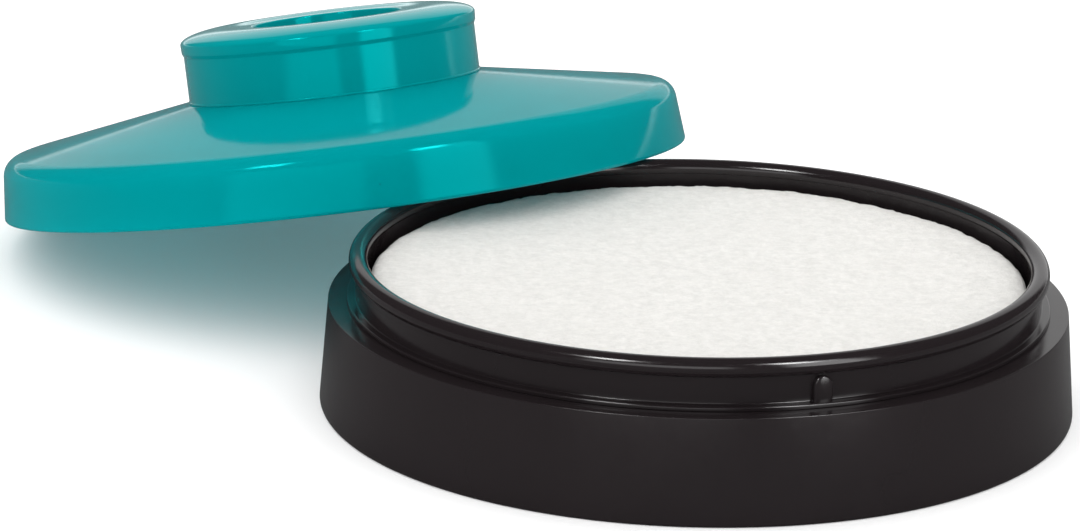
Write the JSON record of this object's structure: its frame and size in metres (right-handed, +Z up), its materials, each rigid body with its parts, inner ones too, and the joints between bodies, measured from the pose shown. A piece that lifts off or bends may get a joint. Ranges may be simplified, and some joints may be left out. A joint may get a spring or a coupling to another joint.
{
  "type": "round wet palette",
  "caption": "Round moist palette: a fibrous pad in a beaded dish set in a tapered base, with a domed lid whose hollow knob has a finger recess, leaning on the dish.",
  "frame": {"origin": "centre of the base's underside, on the surface it stands on", "axes": "+Z up along the axis of the base and dish; the lid leans towards -X and +Y"},
  "size_m": [0.1522, 0.1637, 0.0382],
  "materials": {
    "base_plastic": "moulded, glossy, black",
    "dish_plastic": "moulded, glossy, black",
    "pad_felt": "needled fibrous felt, off-white",
    "lid_plastic": "moulded, glossy, teal",
    "knob_plastic": "moulded, glossy, teal",
    "seal_rubber": "soft, translucent white"
  },
  "bodies": {
    "tray": {"base_shell": "base_plastic", "inner_dish": "dish_plastic"},
    "pad": {"sponge_pad": "pad_felt"},
    "lid": {"lid_shell": "lid_plastic", "lid_knob": "knob_plastic", "lid_seal": "seal_rubber"}
  },
  "joints": [
    {"name": "lid_lift", "type": "slide", "parent": "tray", "child": "lid", "axis": [0, 0, 1], "range_m": [0, 0.06]},
    {"name": "pad_lift", "type": "slide", "parent": "tray", "child": "pad", "axis": [0, 0, 1], "range_m": [0, 0.03]}
  ],
  "couplings": [
    {"joint": "pad_lift", "follows": "lid_lift", "ratio": 0.5}
  ]
}
